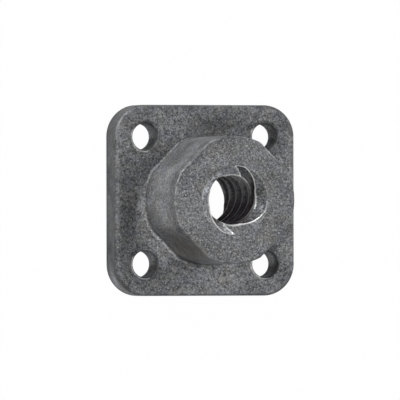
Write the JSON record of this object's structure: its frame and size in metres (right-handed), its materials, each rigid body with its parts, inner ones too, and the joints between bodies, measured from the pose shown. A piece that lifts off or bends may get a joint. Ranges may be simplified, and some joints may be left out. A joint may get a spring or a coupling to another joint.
{
  "type": "flange lead screw nut",
  "caption": "Square-flange nut with a flatted round hub and a countersunk multi-start lead screw thread, screwed to a carriage through its corner holes",
  "frame": {"origin": "the point where the lead screw's axis meets the flange's back face", "axes": "+Z along the lead screw's axis from the flange to the hub's end face; X and Y parallel to the flange's sides"},
  "size_m": [0.0382, 0.0382, 0.0229],
  "materials": {
    "flange_nut": "dark grey sintered iron, fine-grained and slightly speckled"
  },
  "bodies": {
    "root": {"flange_nut": "flange_nut"}
  },
  "joints": []
}
